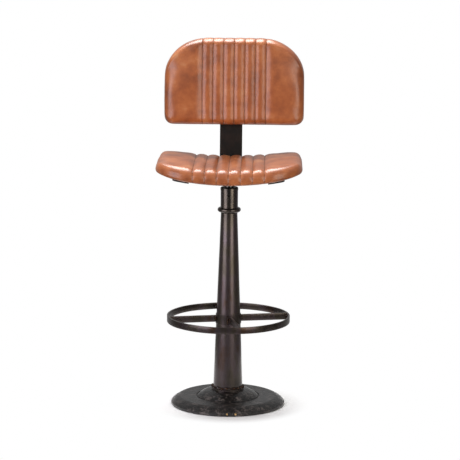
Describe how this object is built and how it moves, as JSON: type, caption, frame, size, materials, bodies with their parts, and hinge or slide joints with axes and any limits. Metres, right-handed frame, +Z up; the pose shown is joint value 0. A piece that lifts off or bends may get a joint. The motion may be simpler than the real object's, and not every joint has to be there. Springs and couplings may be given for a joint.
{
  "type": "bar stool",
  "caption": "Swivelling bar stool with a channelled leather seat and low back on a screw-lifted spindle, a tapered steel column with a foot ring, and a domed round cast-iron base.",
  "frame": {"origin": "on the floor at the centre of the round base, on the swivel axis, with the stool standing on its floor pads", "axes": "+Z up the column; +Y from the front of the seat toward the back bar; the sitter faces -Y; +X is the right-hand side seen from the front"},
  "size_m": [0.448, 0.4508, 1.1161],
  "materials": {
    "base_iron": "satin",
    "column_steel": "satin",
    "ring_steel": "satin",
    "head_steel": "satin",
    "bar_steel": "satin",
    "spindle_steel": "satin",
    "weld_metal": "matte",
    "zinc_steel": "satin",
    "black_screw": "satin",
    "bronze": "satin",
    "nylon": "matte",
    "felt": "matte",
    "black_cloth": "matte",
    "plywood": "matte",
    "leather": "satin"
  },
  "bodies": {
    "stand": {"base_casting": "base_iron", "floor_pads": "felt", "foot_flange": "column_steel", "foot_bolts": "zinc_steel", "foot_washers": "zinc_steel", "foot_weld": "weld_metal", "column_tube": "column_steel", "foot_ring": "ring_steel", "foot_ring_hub": "ring_steel", "hub_seam_weld": "weld_metal", "foot_spoke_right": "ring_steel", "foot_spoke_rear": "ring_steel", "foot_spoke_left": "ring_steel", "foot_spoke_front": "ring_steel", "spoke_root_welds": "weld_metal", "spoke_tip_welds": "weld_metal", "bead_ring": "head_steel", "head_sleeve": "head_steel", "spindle_nut": "bronze", "head_grub_screw": "black_screw", "head_cap": "head_steel", "guide_tube": "column_steel"},
    "guide": {"guide_bush": "nylon"},
    "seat": {"spindle": "spindle_steel", "spindle_end_washer": "zinc_steel", "spindle_end_bolt": "zinc_steel", "spindle_flange": "bar_steel", "flange_screws": "black_screw", "back_bar": "bar_steel", "seat_plate": "bar_steel", "seat_cover": "black_cloth", "seat_board": "plywood", "seat_wood_screws": "black_screw", "seat_pad": "leather", "back_rear_cover": "leather", "back_board": "plywood", "back_pad": "leather", "back_bolts": "black_screw", "back_washers": "black_screw"}
  },
  "joints": [
    {"name": "seat_lift", "type": "slide", "parent": "stand", "child": "guide", "axis": [0, 0, 1], "range_m": [0, 0.098]},
    {"name": "seat_swivel", "type": "hinge", "parent": "guide", "child": "seat", "pos_m": [0, 0, 0.4], "axis": [0, 0, 1], "range_deg": [0, 4410]}
  ],
  "couplings": [
    {"joint": "seat_lift", "follows": "seat_swivel", "m_per_rad": 0.0012732}
  ]
}
